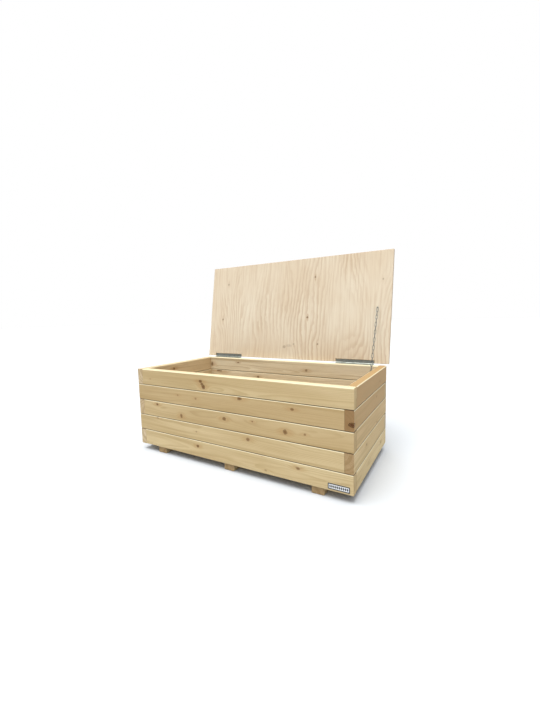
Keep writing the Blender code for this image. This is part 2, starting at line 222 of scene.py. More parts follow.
# Pin knots of the lid and the floor panel: place from left to right, place from front to back with
# the lid shut, half width, half length along the grain, and how dark it is.
LID_KNOTS = [
    (-0.395, -0.161, 0.006, 0.008, 0.50),
    (-0.422, 0.041, 0.005, 0.006, 0.80),
    (0.141, -0.164, 0.005, 0.007, 0.70),
    (0.110, 0.038, 0.005, 0.006, 1.0),
    (0.468, -0.130, 0.005, 0.006, 0.30),
    (0.171, 0.170, 0.005, 0.006, 0.55),
    (-0.011, 0.188, 0.012, 0.010, 0.30),
    (0.016, 0.181, 0.026, 0.010, 0.10),
    (0.042, 0.173, 0.006, 0.005, 0.35),
]
FLOOR_KNOTS = [(-0.260, 0.080, 0.006, 0.008, 0.70), (0.190, -0.120, 0.007, 0.009, 0.80)]


# Node trees


class Graph:
    """Adds nodes to a tree. A value given to a socket is either another socket or a constant."""

    def __init__(self, tree):
        self.tree = tree

    def add(self, kind, **settings):
        node = self.tree.nodes.new(kind)
        for name, value in settings.items():
            setattr(node, name, value)
        return node

    def feed(self, socket, value):
        if isinstance(value, bpy.types.NodeSocket):
            self.tree.links.new(value, socket)
        elif socket.type == "RGBA":
            socket.default_value = (*value, 1.0)
        else:
            socket.default_value = value

    def math(self, operation, *values, clamp=False):
        node = self.add("ShaderNodeMath", operation=operation, use_clamp=clamp)
        for socket, value in zip(node.inputs, values):
            self.feed(socket, value)
        return node.outputs[0]

    def product(self, first, second, clamp=False):
        return self.math("MULTIPLY", first, second, clamp=clamp)

    def scaled(self, value, factor, plus):
        """The value times the factor, plus the last."""
        return self.math("MULTIPLY_ADD", value, factor, plus)

    def beyond(self, value, limit):
        """How far the value is from zero, less the limit."""
        return self.math("SUBTRACT", self.math("ABSOLUTE", value), limit)

    def split(self, vector):
        node = self.add("ShaderNodeSeparateXYZ")
        self.feed(node.inputs[0], vector)
        return node.outputs

    def join(self, x, y, z):
        node = self.add("ShaderNodeCombineXYZ")
        for socket, value in zip(node.inputs, (x, y, z)):
            self.feed(socket, value)
        return node.outputs[0]

    def vector(self, operation, *values):
        node = self.add("ShaderNodeVectorMath", operation=operation)
        for socket, value in zip(node.inputs, values):
            self.feed(socket, value)
        return node.outputs[0]

    def dot(self, first, second):
        node = self.add("ShaderNodeVectorMath", operation="DOT_PRODUCT")
        self.feed(node.inputs[0], first)
        self.feed(node.inputs[1], second)
        return node.outputs["Value"]

    def length(self, vector):
        node = self.add("ShaderNodeVectorMath", operation="LENGTH")
        self.feed(node.inputs[0], vector)
        return node.outputs["Value"]

    def noise(self, vector, scale, detail=2.0, roughness=0.5):
        """Smooth noise about 0.5. Scale is in waves a metre, one number for each direction."""
        stretched = self.vector("MULTIPLY", vector, scale)
        node = self.add("ShaderNodeTexNoise", noise_dimensions="3D")
        self.feed(node.inputs["Vector"], stretched)
        self.feed(node.inputs["Scale"], 1.0)
        self.feed(node.inputs["Detail"], detail)
        self.feed(node.inputs["Roughness"], roughness)
        return node.outputs["Fac"]

    def step(self, value, low, high, to_low=0.0, to_high=1.0):
        """A smooth step from to_low at low to to_high at high."""
        node = self.add("ShaderNodeMapRange", interpolation_type="SMOOTHSTEP")
        for socket, given in zip(node.inputs, (value, low, high, to_low, to_high)):
            self.feed(socket, given)
        return node.outputs[0]

    def mix(self, share, first, second, blend="MIX"):
        node = self.add("ShaderNodeMix", data_type="RGBA", blend_type=blend)
        self.feed(node.inputs[0], share)
        self.feed(node.inputs[6], first)
        self.feed(node.inputs[7], second)
        return node.outputs[2]

    def lay(self, under, mask, share, tint):
        """Lays a tint over a colour where the mask is, up to that share."""
        return self.mix(self.product(mask, share), under, tint)

    def seeded(self, place, seed, way):
        """The place moved by seed times way, so that each piece has its own grain."""
        shift = self.vector("MULTIPLY", self.join(seed, seed, seed), way)
        return self.vector("ADD", place, shift)

    def bump(self, height, depth):
        """The normal of a surface with that height over it, depth in metres for a height of 1."""
        node = self.add("ShaderNodeBump")
        self.feed(node.inputs["Strength"], 1.0)
        self.feed(node.inputs["Distance"], depth)
        self.feed(node.inputs["Height"], height)
        return node.outputs["Normal"]

    def group(self, group, **values):
        node = self.add("ShaderNodeGroup", node_tree=group)
        for name, value in values.items():
            self.feed(node.inputs[name.replace("_", " ")], value)
        return node.outputs


def new_group(name, inputs, outputs):
    """A node group. Inputs and outputs are (name, kind) pairs of Float, Vector or Color kind."""
    group = bpy.data.node_groups.new(name, "ShaderNodeTree")
    for way, sockets in (("INPUT", inputs), ("OUTPUT", outputs)):
        for label, kind in sockets:
            group.interface.new_socket(label, in_out=way, socket_type=f"NodeSocket{kind}")
    graph = Graph(group)
    taken = graph.add("NodeGroupInput").outputs
    given = graph.add("NodeGroupOutput").inputs
    return group, graph, taken, given


KNOT_SOCKETS = [(name, "Float") for name in ("Core", "Bark", "Halo", "Push", "Ring")]
WOOD_SOCKETS = [("Color", "Color"), ("Roughness", "Float"), ("Height", "Float")]


def knot_group():
    """Lays one knot over those before it: an uneven ellipse about Centre, with half sizes Size."""
    inputs = [("Board", "Vector"), ("Centre", "Vector"), ("Size", "Vector"), ("Dark", "Float")]
    group, graph, taken, given = new_group("knot", inputs + KNOT_SOCKETS, KNOT_SOCKETS)
    offset = graph.vector("SUBTRACT", taken["Board"], taken["Centre"])
    flat = graph.vector("DIVIDE", offset, taken["Size"])
    wobble = graph.noise(taken["Board"], (75.0, 75.0, 110.0), detail=1.0)
    radius = graph.product(graph.length(flat), graph.scaled(wobble, 0.8, 0.62))
    ragged = graph.noise(taken["Board"], (420.0, 420.0, 420.0), detail=2.0)
    radius = graph.math("ADD", radius, graph.scaled(ragged, 0.22, -0.11))
    reach = graph.length(graph.vector("MULTIPLY", flat, (0.40, 1.0, 1.0)))
    dark = taken["Dark"]
    core = graph.product(graph.step(radius, 1.08, 0.50), graph.math("POWER", dark, 0.7))
    inner = graph.step(radius, 0.74, 0.93)
    outer = graph.step(radius, 1.14, 0.97)
    bark = graph.product(graph.product(inner, outer), graph.math("POWER", dark, 2.0))
    halo = graph.product(graph.step(reach, 2.4, 0.6), dark)
    spread = graph.math("EXPONENT", graph.product(graph.math("POWER", reach, 2.0), -0.55))
    push = graph.product(spread, 0.0085)
    ring = graph.math("SINE", graph.product(radius, 17.0))
    for name, value in (("Core", core), ("Bark", bark), ("Halo", halo)):
        graph.feed(given[name], graph.math("MAXIMUM", taken[name], value))
    graph.feed(given["Push"], graph.math("ADD", taken["Push"], graph.product(push, dark)))
    graph.feed(given["Ring"], graph.math("ADD", taken["Ring"], graph.product(ring, core)))
    return group


def spruce_group():
    """Planed spruce. Board is (along the grain, through the thickness, across the width) in metres
    from the board's middle. The rings are cylinders about a pith that lies outside the board.
    Top Pale is the painted sheen on its top face, how pale it is painted, and Seamed is 1 where
    another board lies on it, which paints shade along its top edge."""
    inputs = [
        ("Board", "Vector"),
        ("Seed", "Float"),
        ("Pith", "Vector"),
        ("Half Size", "Vector"),
        ("Tone", "Float"),
        ("Shade", "Color"),
        ("End Dark", "Float"),
        ("Top Pale", "Float"),
        ("Seamed", "Float"),
    ]
    group, graph, taken, given = new_group("spruce", inputs + KNOT_SOCKETS, WOOD_SOCKETS)
    place = graph.seeded(taken["Board"], taken["Seed"], (3.7, 1.9, 2.3))
    along, deep, high = graph.split(taken["Board"])
    half_along, half_through, half_across = graph.split(taken["Half Size"])

    # Distance from the pith, with slow wander along the board, pushed outwards round each knot.
    _, through, across = graph.split(graph.vector("SUBTRACT", taken["Board"], taken["Pith"]))
    distance = graph.length(graph.join(0.0, through, across))
    slow = graph.scaled(graph.noise(place, (1.6, 5.0, 7.0), detail=2.0), 0.030, distance)
    wavy = graph.scaled(graph.noise(place, (9.0, 30.0, 40.0), detail=2.0), 0.0028, slow)
    pushed = graph.math("ADD", wavy, taken["Push"])
    phase = graph.product(pushed, RINGS)
    year = graph.math("FRACT", phase)
    latewood = graph.product(graph.step(year, 0.35, 0.90), graph.step(year, 1.0, 0.93))
    vary = graph.step(graph.noise(place, (1.2, 60.0, 60.0), detail=1.0), 0.25, 0.75, 0.35, 1.0)
    latewood = graph.product(latewood, vary)

    # Fibres and small resin ducts, long and thin along the grain.
    fibre = graph.noise(place, (14.0, 900.0, 900.0), detail=3.0, roughness=0.65)
    streak = graph.noise(place, (2.5, 130.0, 130.0), detail=3.0, roughness=0.6)
    duct = graph.step(graph.noise(place, (55.0, 1300.0, 1300.0), detail=0.0), 0.74, 0.80)
    cloud = graph.noise(place, (2.2, 10.0, 14.0), detail=3.0)
    ringwise = graph.join(slow, 0.0, graph.product(along, 0.012))
    band = graph.noise(ringwise, (95.0, 1.0, 95.0), detail=3.0)

    # The ends, and the rounded long edges: a painted highlight along the top, painted shade along
    # the foot and beside a seam.
    end = graph.step(graph.beyond(along, half_along), -0.0016, -0.0004)
    face = graph.math("SUBTRACT", 1.0, end)
    from_top = graph.math("SUBTRACT", high, half_across)
    from_foot = graph.math("ADD", high, half_across)
    near_top = graph.step(from_top, -1.3 * EDGE_ROUND, -0.7 * EDGE_ROUND)
    arris = graph.step(graph.beyond(deep, half_through), -EDGE_ROUND, -0.4 * EDGE_ROUND)
    # Painted highlight: the top arris, and the top face as far as Top Pale says.
    top_highlight = graph.product(near_top, graph.math("MAXIMUM", arris, taken["Top Pale"]))
    # Painted shade along the foot, and along the top edge where a board lies on it.
    below = graph.step(from_foot, 0.65 * EDGE_ROUND, 0.2 * EDGE_ROUND)
    above = graph.step(from_top, -0.48 * EDGE_ROUND, -0.24 * EDGE_ROUND)
    painted_edge_shade = graph.math("MAXIMUM", below, graph.product(above, taken["Seamed"]))

    warmth = graph.math("ADD", graph.step(cloud, 0.30, 0.72), taken["Tone"], clamp=True)
    colour = graph.mix(warmth, SPRUCE_PALE, SPRUCE_WARM)
    # The side's shade: a tint, and painted light on the back, left and bearers.
    colour = graph.mix(1.0, colour, taken["Shade"], blend="MULTIPLY")
    toned = graph.join(*(graph.scaled(taken["Tone"], -share, 1.0) for share in TONE_SHARES))
    colour = graph.vector("MULTIPLY", colour, toned)
    ring_share = graph.product(latewood, graph.scaled(end, 0.25, 0.46))
    colour = graph.mix(ring_share, colour, SPRUCE_LATE)
    colour = graph.lay(colour, graph.step(band, 0.46, 0.70), 0.50, SPRUCE_LATE)
    colour = graph.lay(colour, graph.step(streak, 0.50, 0.78), 0.30, SPRUCE_LATE)
    colour = graph.lay(colour, graph.step(fibre, 0.35, 0.75), 0.16, SPRUCE_WARM)
    colour = graph.lay(colour, graph.product(duct, face), 0.24, SPRUCE_LATE)
    colour = graph.lay(colour, taken["Halo"], 0.52, KNOT_HALO)
    ringed = graph.scaled(taken["Ring"], 0.10, 0.92)
    colour = graph.mix(graph.product(taken["Core"], ringed, clamp=True), colour, KNOT_CORE)
    colour = graph.lay(colour, taken["Bark"], 0.80, KNOT_BARK)
    # The painted highlight along the top.
    colour = graph.lay(colour, graph.product(top_highlight, face), 0.90, TOP_HIGHLIGHT_COLOUR)
    # The painted shade along the foot and beside the seams.
    colour = graph.lay(colour, painted_edge_shade, 0.88, EDGE_SHADE_COLOUR)
    grainy = graph.noise(place, (700.0, 700.0, 700.0), detail=1.0)
    end_dark = graph.product(graph.step(grainy, 0.2, 0.8, 0.80, 1.0), taken["End Dark"])
    colour = graph.mix(graph.product(end, end_dark), colour, END_TINT, blend="MULTIPLY")

    rough = graph.scaled(fibre, 0.22, 0.56)
    rough = graph.scaled(latewood, -0.08, rough)
    rough = graph.scaled(end, 0.14, rough)
    rough = graph.scaled(taken["Core"], -0.12, rough)
    height = graph.scaled(fibre, 0.50, graph.product(latewood, 0.35))
    height = graph.math("SUBTRACT", height, graph.product(duct, 0.5))
    height = graph.math("SUBTRACT", height, graph.product(taken["Bark"], 0.8))
    height = graph.scaled(taken["Core"], 0.45, height)
    chatter = graph.math("SINE", graph.product(along, 2 * math.pi / PLANER_PITCH))
    height = graph.scaled(graph.product(chatter, face), 0.07, height)
    graph.feed(given["Color"], colour)
    graph.feed(given["Roughness"], rough)
    graph.feed(given["Height"], height)
    return group


def veneer_group():
    """Rotary-cut plywood. Board is (along the grain, through the thickness, across the grain) from
    the panel's middle. The figure is the contour lines of a slow, stretched height field."""
    inputs = [("Board", "Vector"), ("Seed", "Float"), ("Half Size", "Vector"), ("Plies", "Float")]
    group, graph, taken, given = new_group("veneer", inputs + KNOT_SOCKETS, WOOD_SOCKETS)
    place = graph.seeded(taken["Board"], taken["Seed"], (2.1, 0.7, 3.3))
    along, through, across = graph.split(taken["Board"])

    field = graph.product(graph.noise(place, (1.5, 0.0, 4.2), detail=1.0), 15.0)
    field = graph.scaled(graph.noise(place, (5.0, 0.0, 22.0), detail=2.0), 1.7, field)
    field = graph.scaled(across, 46.0, field)
    field = graph.scaled(graph.noise(place, (30.0, 0.0, 75.0), detail=1.0), 0.55, field)
    field = graph.scaled(taken["Push"], 210.0, field)
    year = graph.math("FRACT", field)
    line = graph.product(graph.step(year, 0.25, 0.80), graph.step(year, 1.0, 0.84))
    vary = graph.step(graph.noise(place, (2.0, 0.0, 5.0), detail=2.0), 0.36, 0.64, 0.15, 1.0)
    line = graph.product(line, vary)
    fibre = graph.noise(place, (16.0, 900.0, 900.0), detail=3.0, roughness=0.65)
    streak = graph.noise(place, (3.5, 0.0, 130.0), detail=3.0, roughness=0.6)
    check = graph.step(graph.noise(place, (24.0, 0.0, 620.0), detail=1.0), 0.70, 0.80)
    cloud = graph.noise(place, (2.4, 0.0, 3.2), detail=3.0)
    blotch = graph.step(graph.noise(place, (7.0, 0.0, 11.0), detail=3.0), 0.55, 0.80)

    colour = graph.mix(graph.step(cloud, 0.30, 0.70), VENEER_PALE, VENEER_WARM)
    colour = graph.lay(colour, line, 0.58, VENEER_LINE)
    colour = graph.lay(colour, graph.step(streak, 0.42, 0.75), 0.50, VENEER_LINE)
    colour = graph.lay(colour, blotch, 0.16, VENEER_LINE)
    colour = graph.lay(colour, graph.step(fibre, 0.35, 0.75), 0.14, VENEER_LINE)
    colour = graph.lay(colour, check, 0.10, VENEER_LINE)
    colour = graph.lay(colour, taken["Halo"], 0.32, KNOT_HALO)
    colour = graph.lay(colour, taken["Core"], 0.85, KNOT_CORE)
    colour = graph.lay(colour, taken["Bark"], 0.75, KNOT_BARK)

    # The edges show the plies, long grain and end grain in turn.
    half_along, half_through, half_across = graph.split(taken["Half Size"])
    over_along = graph.beyond(along, half_along)
    over_across = graph.beyond(across, half_across)
    edge = graph.step(graph.math("MAXIMUM", over_along, over_across), -0.0009, -0.0004)
    depth = graph.product(graph.math("ADD", through, half_through), taken["Plies"])
    wander = graph.scaled(graph.noise(place, (9.0, 0.0, 9.0), detail=1.0), 0.20, depth)
    ply = graph.math("PINGPONG", wander, 1.0)
    dark_ply = graph.step(ply, 0.42, 0.58)
    layers = graph.mix(dark_ply, VENEER_PALE, PLY_DARK)
    speckle = graph.noise(place, (500.0, 900.0, 500.0), detail=2.0)
    layers = graph.lay(layers, graph.step(speckle, 0.4, 0.8), 0.35, PLY_DARK)
    colour = graph.mix(edge, colour, layers)

    rough = graph.scaled(fibre, 0.20, 0.55)
    rough = graph.scaled(edge, 0.12, rough)
    height = graph.scaled(line, 0.25, graph.product(fibre, 0.5))
    height = graph.math("SUBTRACT", height, graph.product(check, 0.5))
    height = graph.scaled(graph.product(dark_ply, edge), -0.6, height)
    graph.feed(given["Color"], colour)
    graph.feed(given["Roughness"], rough)
    graph.feed(given["Height"], height)
    return group


KNOT = knot_group()
SPRUCE = spruce_group()
VENEER = veneer_group()


def new_material(name):
    """A material, its graph, its Principled shader and the object coordinates."""
    material = bpy.data.materials.new(name)
    material.use_nodes = True
    graph = Graph(material.node_tree)
    shader = material.node_tree.nodes["Principled BSDF"]
    place = graph.add("ShaderNodeTexCoord").outputs["Object"]
    return material, graph, shader, place


def lay_knots(graph, board, knots, axes):
    """Chains the knots. Axes are the board's axes that a knot's two places and sizes lie along."""
    laid = {}
    for first, second, half_first, half_second, dark, *third in knots:
        through, half_through = third or (0.0, 1.0)
        centre = [through] * 3
        size = [half_through] * 3
        centre[axes[0]] = first
        centre[axes[1]] = second
        size[axes[0]] = half_first * KNOT_SHARE
        size[axes[1]] = half_second * KNOT_SHARE
        laid = graph.group(KNOT, Board=board, Centre=centre, Size=size, Dark=dark, **laid)
        laid = {name: laid[name] for name, _ in KNOT_SOCKETS}
    return laid


def finish_wood(graph, shader, made, depth):
    """Feeds a wood group's outputs to the shader, with a bump of that depth in metres."""
    graph.feed(shader.inputs["Base Color"], made["Color"])
    graph.feed(shader.inputs["Roughness"], made["Roughness"])
    graph.feed(shader.inputs["Normal"], graph.bump(made["Height"], depth))
    shader.inputs["Specular IOR Level"].default_value = WOOD_SPECULAR


def board_coordinates(graph, place, centre, axes):
    """The place relative to centre, with its axes in the order given."""
    local = graph.split(graph.vector("SUBTRACT", place, centre))
    return graph.join(*(local[axis] for axis in axes))


def spruce(node, grain, seed, kind, tone):
    """Gives a CAD plank its own spruce: grain is the axis that the plank runs along."""
    low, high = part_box(node)
    axes = (0, 1, 2) if grain == 0 else (1, 0, 2)
    middle = (low + high) / 2
    material, graph, shader, place = new_material(f"spruce_{node}")
    board = board_coordinates(graph, place, middle, axes)
    near = [(along - middle[grain], *rest) for along, *rest in KNOTS.get(node, [])]
    laid = lay_knots(graph, board, near, (0, 2))
    side = 1 if seed % 2 else -1
    pith = (0, side * (PITH_NEAREST + PITH_STEP * (seed % 5)), PITH_RISE * math.sin(2.4 * seed))
    made = graph.group(
        SPRUCE,
        Board=board,
        Seed=float(seed),
        Pith=pith,
        Half_Size=tuple((high - low)[axis] / 2 for axis in axes),
        Tone=tone,
        Shade=SIDE_TINT_AND_LIGHT[kind],
        End_Dark=END_DARK[kind],
        Top_Pale=TOP_PAINTED_SHEEN[kind],
        Seamed=0.0 if node.endswith("plank_1") else 1.0,
        **laid,
    )
    finish_wood(graph, shader, made, SPRUCE_BUMP)
    paint(nodes[node], material)


def paint(piece, material):
    """Gives a piece its material."""
    piece.data.materials.clear()
    piece.data.materials.append(material)


def paint_planks():
    for index, side in enumerate(("front", "back", "left", "right")):
        for course in range(1, 6):
            node = f"{side}_plank_{course}"
            grain = 0 if side in ("front", "back") else 1
            seed = PLANK_SEED + SIDE_SEED * index + COURSE_SEED * course
            spruce(node, grain, seed, side, COURSE_TONES[side][course - 1])
    for index, side in enumerate(("left", "centre", "right")):
        spruce(f"{side}_bearer", 1, BEARER_SEED + index, "bearer", BEARER_TONE)


# The lid's own coordinates: those it has when it is shut.
hinge = joints["lid_hinge"]
PIN = Vector(hinge["pos_m"])
LID_OPEN = math.radians(max(hinge["range_deg"]))
TURN_SHUT = Matrix.Rotation(LID_OPEN, 4, "X")
SHUT_FROM_OPEN = Matrix.Translation(PIN) @ TURN_SHUT @ Matrix.Translation(-PIN)
OPEN_FROM_SHUT = SHUT_FROM_OPEN.inverted()


def shut_box(node):
    """The box of a node on the lid, as it is when the lid is shut."""
    points = [SHUT_FROM_OPEN @ vertex.co for vertex in nodes[node].data.vertices]
    low = Vector(min(point[axis] for point in points) for axis in range(3))
    high = Vector(max(point[axis] for point in points) for axis in range(3))
    return low, high


def shut_coordinates(graph, place):
    """The place of a point on the open lid, turned to where it is when the lid is shut."""
    node = graph.add("ShaderNodeMapping", vector_type="POINT")
    graph.feed(node.inputs["Vector"], place)
    node.inputs["Rotation"].default_value = (LID_OPEN, 0, 0)
    node.inputs["Location"].default_value = SHUT_FROM_OPEN.translation
    return node.outputs["Vector"]


def veneer(node, seed, plies, knots, on_lid):
    """Gives a CAD panel its plywood, grain from front to back."""
    low, high = shut_box(node) if on_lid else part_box(node)
    middle = (low + high) / 2
    material, graph, shader, place = new_material(f"plywood_{node}")
    if on_lid:
        place = shut_coordinates(graph, place)
    board = board_coordinates(graph, place, middle, (1, 2, 0))
    near = [(x - middle.x, y - middle.y, *rest) for x, y, *rest in knots]
    laid = lay_knots(graph, board, near, (2, 0))
    half = (high - low) / 2
    made = graph.group(
        VENEER,
        Board=board,
        Seed=float(seed),
        Half_Size=(half.y, half.z, half.x),
        Plies=plies / (high.z - low.z),
        **laid,
    )
    finish_wood(graph, shader, made, VENEER_BUMP)
    paint(nodes[node], material)


def zinc_material(name, bright, dull):
    """Zinc plate: faint spangle, small scratches and stains."""
    material, graph, shader, place = new_material(name)
    spangle = graph.noise(place, (420.0, 420.0, 420.0), detail=2.0)
    smear = graph.noise(place, (60.0, 900.0, 900.0), detail=2.0)
    stain = graph.noise(place, (45.0, 45.0, 45.0), detail=3.0)
    colour = graph.mix(graph.step(stain, 0.35, 0.70), bright, dull)
    colour = graph.lay(colour, graph.step(spangle, 0.45, 0.70), 0.20, ZINC_SPANGLE)
    rough = graph.scaled(smear, 0.20, 0.20)
    rough = graph.scaled(graph.step(stain, 0.45, 0.80), 0.16, rough)
    graph.feed(shader.inputs["Base Color"], colour)
    graph.feed(shader.inputs["Roughness"], rough)
    shader.inputs["Metallic"].default_value = 1.0
    graph.feed(shader.inputs["Normal"], graph.bump(smear, ZINC_BUMP))
    return material


def beech_material():
    """Turned beech: short dark flecks along the grain."""
    material, graph, shader, place = new_material("beech_dowel")
    fleck = graph.step(graph.noise(place, (1400.0, 1400.0, 160.0), detail=1.0), 0.62, 0.72)
    fibre = graph.noise(place, (900.0, 900.0, 14.0), detail=2.0)
    colour = graph.lay(BEECH_COLOUR, fleck, 0.45, KNOT_HALO)
    graph.feed(shader.inputs["Base Color"], colour)
    graph.feed(shader.inputs["Roughness"], graph.scaled(fibre, 0.2, 0.45))
    return material


ZINC = zinc_material("zinc_plate", *ZINC_COLOURS)
# The chain's zinc, darkened as painted shade.
SHADED_CHAIN_ZINC = zinc_material("zinc_chain_shaded", *SHADED_CHAIN_COLOURS)
BEECH = beech_material()


# Metalwork


def new_piece(name, build, material, body, stands_for=(), smooth_angle=35):
    """A piece made by a function that fills a bmesh in the row frame."""
    mesh = bpy.data.meshes.new(name)
    work = bmesh.new()
    build(work)
    bmesh.ops.recalc_face_normals(work, faces=work.faces)
    work.to_mesh(mesh)
    work.free()
    mesh.shade_smooth()
    mesh.set_sharp_from_angle(angle=math.radians(smooth_angle))
    piece = bpy.data.objects.new(name, mesh)
    bpy.context.scene.collection.objects.link(piece)
    paint(piece, material)
    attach(piece, body)
    if stands_for:
        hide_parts(*stands_for)
    return piece


def sweep(work, path, radius, sides=12, up=Vector((1, 0, 0))):
    """A round wire along a closed path of points. Its radius is a number or a function of the
    point's index, and up is square to the path everywhere."""
    rings = []
    for index, point in enumerate(path):
        tangent = (path[(index + 1) % len(path)] - path[index - 1]).normalized()
        side = tangent.cross(up).normalized()
        third = side.cross(tangent)
        thick = radius(index) if callable(radius) else radius
        ring = []
        for step in range(sides):
            angle = 2 * math.pi * step / sides
            outwards = math.cos(angle) * side + math.sin(angle) * third
            ring.append(work.verts.new(point + thick * outwards))
        rings.append(ring)
    for first, second in zip(rings, rings[1:] + rings[:1]):
        for step in range(sides):
            after = (step + 1) % sides
            work.faces.new((first[step], first[after], second[after], second[step]))


def turn(work, profile, matrix, sides=32):
    """A turned body. The profile is (radius, height) points that begin and end on the axis."""
    rings = []
    for radius, height in profile:
        if radius == 0:
            rings.append([work.verts.new(matrix @ Vector((0, 0, height)))])
            continue
        ring = []
        for step in range(sides):
            angle = 2 * math.pi * step / sides
            corner = Vector((radius * math.cos(angle), radius * math.sin(angle), height))
            ring.append(work.verts.new(matrix @ corner))
        rings.append(ring)
    for first, second in zip(rings, rings[1:]):
        for step in range(sides):
            after = (step + 1) % sides
            corners = [first[k % len(first)] for k in (step, after)]
            corners += [second[k % len(second)] for k in (after, step)]
            # A ring that is a single point gives the same corner twice.
            work.faces.new(list(dict.fromkeys(corners)))


# Chain: links of round wire, each with the swelling of its weld on one side.
CHAIN_TOP = Vector(joints["chain_joint_1"]["pos_m"])
CHAIN_LOW = Vector(joints["chain_joint_5"]["pos_m"])
CHAIN_ALONG = (CHAIN_LOW - CHAIN_TOP).normalized()
RUNS = 6
LINKS_IN_RUN = 3
LINK_PITCH = (CHAIN_LOW - CHAIN_TOP).length / (4 * LINKS_IN_RUN)
WIRE = 0.0011
HOOK = WIRE + 0.0001
RUN_HOOK = WIRE + 0.0002
LINK_WIDTH = 0.0090
BOW_STEPS = 10
SIDE_STEPS = 8
WELD_AT = BOW_STEPS + SIDE_STEPS // 2
WELD_SWELL = 0.16
LINK_START = CHAIN_TOP + RUN_HOOK * CHAIN_ALONG


def link_path(start, end, sideways):
    """The wire's middle line: a long ring from start to end, in the plane of sideways."""
    along = (end - start).normalized()
    bow = LINK_WIDTH / 2 - WIRE
    path = []
    for centre, first in ((end - bow * along, 0), (start + bow * along, math.pi)):
        for step in range(BOW_STEPS + 1):
            angle = first + math.pi * step / BOW_STEPS
            path.append(centre + bow * (math.cos(angle) * sideways + math.sin(angle) * along))
    # The straight sides need points of their own, so that the weld can swell one of them.
    half = BOW_STEPS + 1
    shares = [step / SIDE_STEPS for step in range(1, SIDE_STEPS)]
    first_side = [path[half - 1].lerp(path[half], share) for share in shares]
    second_side = [path[-1].lerp(path[0], share) for share in shares]
    return path[:half] + first_side + path[half:] + second_side


def add_link(work, index, end=None):
    """One link of the chain. The last one is given its own end, at the wall's screw."""
    flat = index % 2 == 0
    start = LINK_START + index * LINK_PITCH * CHAIN_ALONG
    finish = end or start + LINK_PITCH * CHAIN_ALONG
    along = (finish - start).normalized()
    world_x = Vector((1, 0, 0))
    depth = along.cross(world_x).normalized()
    sideways = depth.cross(along) if flat else depth
    before = RUN_HOOK if index % LINKS_IN_RUN == 0 else HOOK
    after = RUN_HOOK if index % LINKS_IN_RUN == LINKS_IN_RUN - 1 else HOOK
    path = link_path(start - before * along, finish + (0 if end else after) * along, sideways)

    def thickness(at):
        return WIRE * (1 + WELD_SWELL * math.exp(-((at - WELD_AT) ** 2) / 0.9))

    sweep(work, path, thickness, up=along.cross(sideways))


def build_chain():
    for run in range(RUNS):
        first = run * LINKS_IN_RUN

        def build(work):
            for index in range(first, first + LINKS_IN_RUN):
                last = index == RUNS * LINKS_IN_RUN - 1
                add_link(work, index, STAY_END if last else None)

        node = f"chain_run_{run + 1}"
        new_piece(f"{node}_links", build, SHADED_CHAIN_ZINC, node, [node], smooth_angle=60)


# Screws, with a cross recess in the head.
SCREW_STEPS = 24
THREAD_PITCH = 0.0011
THREAD_TOP = 0.0022
THREAD_MARGIN = 0.0040
RECESS_DEPTH = 0.0011
CUT_ABOVE = 0.0006


def cut_recess(piece, matrix, width, depth):
    """Cuts a cross recess, narrowing downwards, into the head that matrix places."""
    work = bmesh.new()
    reach = width / 2
    half = width / 9
    for quarter in (0, 1):
        corners = []
        for height, shrink in ((CUT_ABOVE, 1.1), (-depth, 0.35)):
            for x, y in ((-1, -1), (1, -1), (1, 1), (-1, 1)):
                narrowed = y * half * (0.6 + 0.4 * shrink)
                corners.append(Vector((x * reach * shrink, narrowed, height)))
        spin = Matrix.Rotation(math.pi / 2 * quarter, 4, "Z")
        made = [work.verts.new(matrix @ spin @ corner) for corner in corners]
        work.faces.new(made[0:4][::-1])
        work.faces.new(made[4:8])
        for k in range(4):
            after = (k + 1) % 4
            work.faces.new((made[k], made[after], made[4 + after], made[4 + k]))
    bmesh.ops.recalc_face_normals(work, faces=work.faces)
    mesh = bpy.data.meshes.new("recess")
    work.to_mesh(mesh)
    work.free()
    cutter = bpy.data.objects.new("recess", mesh)
    bpy.context.scene.collection.objects.link(cutter)
    mod = piece.modifiers.new("Recess", "BOOLEAN")
    mod.operation = "DIFFERENCE"
    mod.solver = "EXACT"
    mod.use_self = True
    mod.object = cutter
    bpy.context.view_layer.update()
    graph = bpy.context.evaluated_depsgraph_get()
    cut = bpy.data.meshes.new_from_object(piece.evaluated_get(graph))
    piece.modifiers.clear()
    piece.data = cut
    bpy.data.objects.remove(cutter)
    cut.set_sharp_from_angle(angle=math.radians(35))


def hinge_screw(node, body):
    """A countersunk screw in the place of its plain CAD screw."""
    lid_side = body == "lid"
    low, high = shut_box(node) if lid_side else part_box(node)
    middle = (low + high) / 2
    radius = (high.x - low.x) / 2
    length = high.z - low.z
    head = Vector((middle.x, middle.y, low.z if lid_side else high.z))
    place = Matrix.Translation(head) @ (Matrix.Rotation(math.pi, 4, "X") if lid_side else Matrix())
    if lid_side:
        place = OPEN_FROM_SHUT @ place
    core = radius * 0.40
    crest = core * 1.22
    profile = [
        (0, 0),
        (radius * 0.80, 0),
        (radius * 0.97, -0.00012),
        (radius, -0.0003),
        (core * 1.2, -radius * 0.62),
    ]
    for thread in range(int((length - THREAD_MARGIN) / THREAD_PITCH)):
        top = -THREAD_TOP - thread * THREAD_PITCH
        profile += [(core, top), (crest, top - 0.00040)]
        profile += [(crest, top - 0.00055), (core, top - 0.00095)]
    profile += [(core * 0.9, -length + 0.0016), (0, -length)]

    def build(work):
        turn(work, profile, place, SCREW_STEPS)

    piece = new_piece(f"{node}_detail", build, ZINC, body, [node])
    cut_recess(piece, place, radius * 1.15, RECESS_DEPTH)


def build_hinge_screws():
    for side in ("left", "right"):
        for owner in ("box", "lid"):
            for number in (1, 2, 3):
                hinge_screw(f"{side}_{owner}_screw_{number}", owner)


